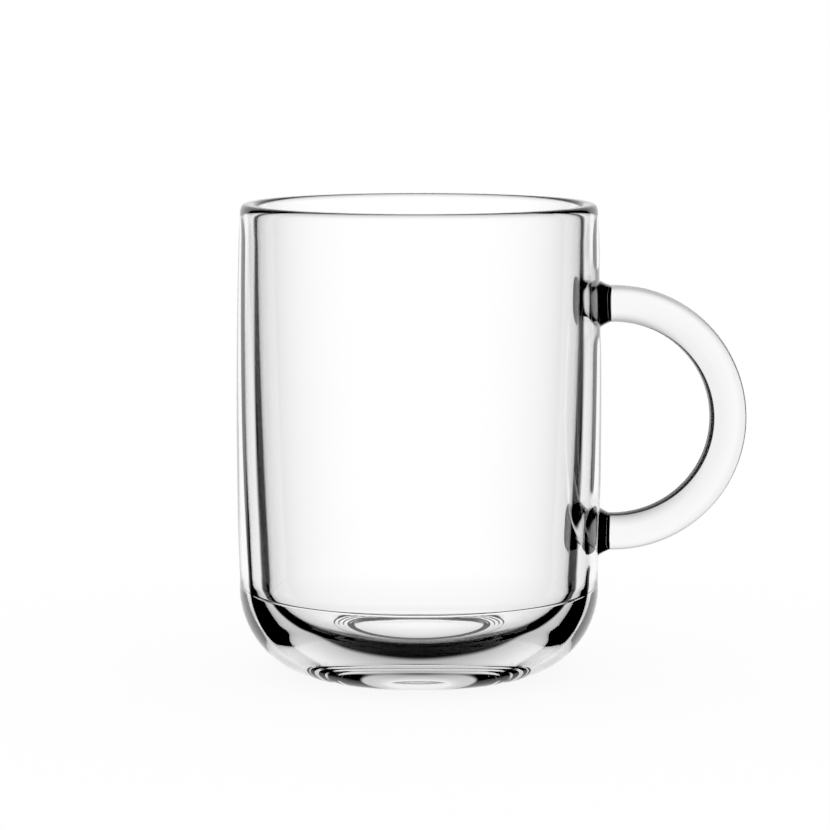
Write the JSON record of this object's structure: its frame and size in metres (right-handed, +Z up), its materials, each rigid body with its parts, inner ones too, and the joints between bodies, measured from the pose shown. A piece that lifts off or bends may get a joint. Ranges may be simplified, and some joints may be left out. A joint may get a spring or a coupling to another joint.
{
  "type": "tea glass",
  "caption": "Clear heavy glass mug with a barrel-shaped wall, rounded heel, deep round-bottomed inside and half-ring side handle, for drinking hot tea.",
  "frame": {"origin": "on the table plane, under the middle of the overall length from the back of the bowl to the front of the handle", "axes": "+Z up along the bowl's axis, +X from the bowl towards the handle, +Y across the handle"},
  "size_m": [0.1028, 0.0734, 0.095],
  "materials": {
    "bowl_glass": "clear, fire-polished, smooth",
    "handle_glass": "clear, fire-polished, smooth",
    "weld_glass": "clear, fused, smooth"
  },
  "bodies": {
    "root": {"bowl": "bowl_glass", "handle": "handle_glass", "weld_collar_upper": "weld_glass", "weld_collar_lower": "weld_glass"}
  },
  "joints": []
}
